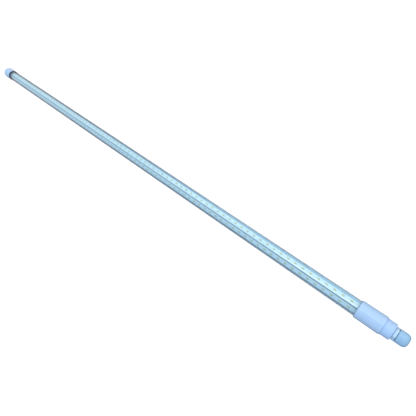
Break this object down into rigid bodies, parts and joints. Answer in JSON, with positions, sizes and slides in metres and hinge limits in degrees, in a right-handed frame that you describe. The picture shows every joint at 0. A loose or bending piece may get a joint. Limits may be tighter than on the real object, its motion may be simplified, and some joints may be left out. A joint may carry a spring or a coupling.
{
  "type": "led tube light",
  "caption": "Sealed LED tube light: clear tube over two angled LED boards on an aluminium profile, rounded cap at one end, screwed plug with cable gland at the other.",
  "frame": {"origin": "on the tube's axis at the middle of the clear tube's length, where its clips hold it", "axes": "+X along the tube's axis towards the cable gland; +Z towards the LED side, through the ridge between the boards; +Y completes the frame"},
  "size_m": [1.2418, 0.0292, 0.0293],
  "materials": {
    "clear_tube": "clear, polished",
    "extruded_aluminium": "extruded, satin",
    "white_board": "white solder mask",
    "led_package": "phosphor and white housing",
    "moulded_end": "moulded, glossy",
    "moulded_plug": "moulded, satin",
    "gland_nylon": "moulded nylon",
    "neck_nylon": "moulded nylon, lighter",
    "dark_seal": "satin",
    "grey_seal": "satin",
    "insert_rubber": "matte",
    "insulating_film": "frosted film",
    "green_board": "solder mask",
    "terminal_plastic": "moulded",
    "plated_steel": "zinc plated",
    "resistor_ceramic": "lacquered",
    "varistor_coating": "epoxy coating",
    "film_capacitor_case": "moulded",
    "ferrite": "sintered, dull",
    "black_moulding": "moulded epoxy",
    "capacitor_can": "shrunk sleeve",
    "winding_tape": "polyester tape",
    "red_wire": "insulation",
    "black_wire": "insulation",
    "white_wire": "insulation"
  },
  "bodies": {
    "lamp": {"outer_tube": "clear_tube", "heatsink_profile": "extruded_aluminium", "led_board_left": "white_board", "led_board_right": "white_board", "leds_left": "led_package", "leds_right": "led_package", "lead_wire_positive": "red_wire", "lead_wire_negative": "black_wire", "board_jumpers": "white_wire", "insulating_sleeve": "insulating_film", "driver_board": "green_board", "terminal_block": "terminal_plastic", "terminal_screws": "plated_steel", "fuse_resistor": "resistor_ceramic", "varistor": "varistor_coating", "film_capacitor": "film_capacitor_case", "filter_inductor": "ferrite", "bridge_rectifier": "black_moulding", "input_capacitor": "capacitor_can", "transformer_core": "ferrite", "transformer_winding": "winding_tape", "controller_chip": "black_moulding", "output_capacitor": "capacitor_can", "far_end_cap": "moulded_end", "far_seal_ring": "dark_seal", "end_sleeve": "moulded_end", "near_seal_ring": "grey_seal"},
    "seal_ring": {"plug_seal_ring": "dark_seal"},
    "plug": {"end_plug": "moulded_plug", "plug_o_rings": "dark_seal", "gland_gasket": "grey_seal", "gland_body": "neck_nylon", "gland_nut_ring": "dark_seal"},
    "clamp": {"gland_claw_ring": "gland_nylon", "gland_seal_insert": "insert_rubber"},
    "nut": {"gland_dome_nut": "gland_nylon"}
  },
  "joints": [
    {"name": "plug_travel", "type": "slide", "parent": "lamp", "child": "seal_ring", "axis": [1, 0, 0], "range_m": [0, 0.012]},
    {"name": "plug_turn", "type": "hinge", "parent": "seal_ring", "child": "plug", "pos_m": [0.5887, 0, 0], "axis": [1, 0, 0], "range_deg": [0, 2880]},
    {"name": "clamp_travel", "type": "slide", "parent": "plug", "child": "clamp", "axis": [1, 0, 0], "range_m": [0, 0.0075]},
    {"name": "nut_turn", "type": "hinge", "parent": "clamp", "child": "nut", "pos_m": [0.6352, 0, 0], "axis": [1, 0, 0], "range_deg": [0, 1800]}
  ],
  "couplings": [
    {"joint": "plug_travel", "follows": "plug_turn", "m_per_rad": 0.00023873},
    {"joint": "clamp_travel", "follows": "nut_turn", "m_per_rad": 0.00023873}
  ]
}
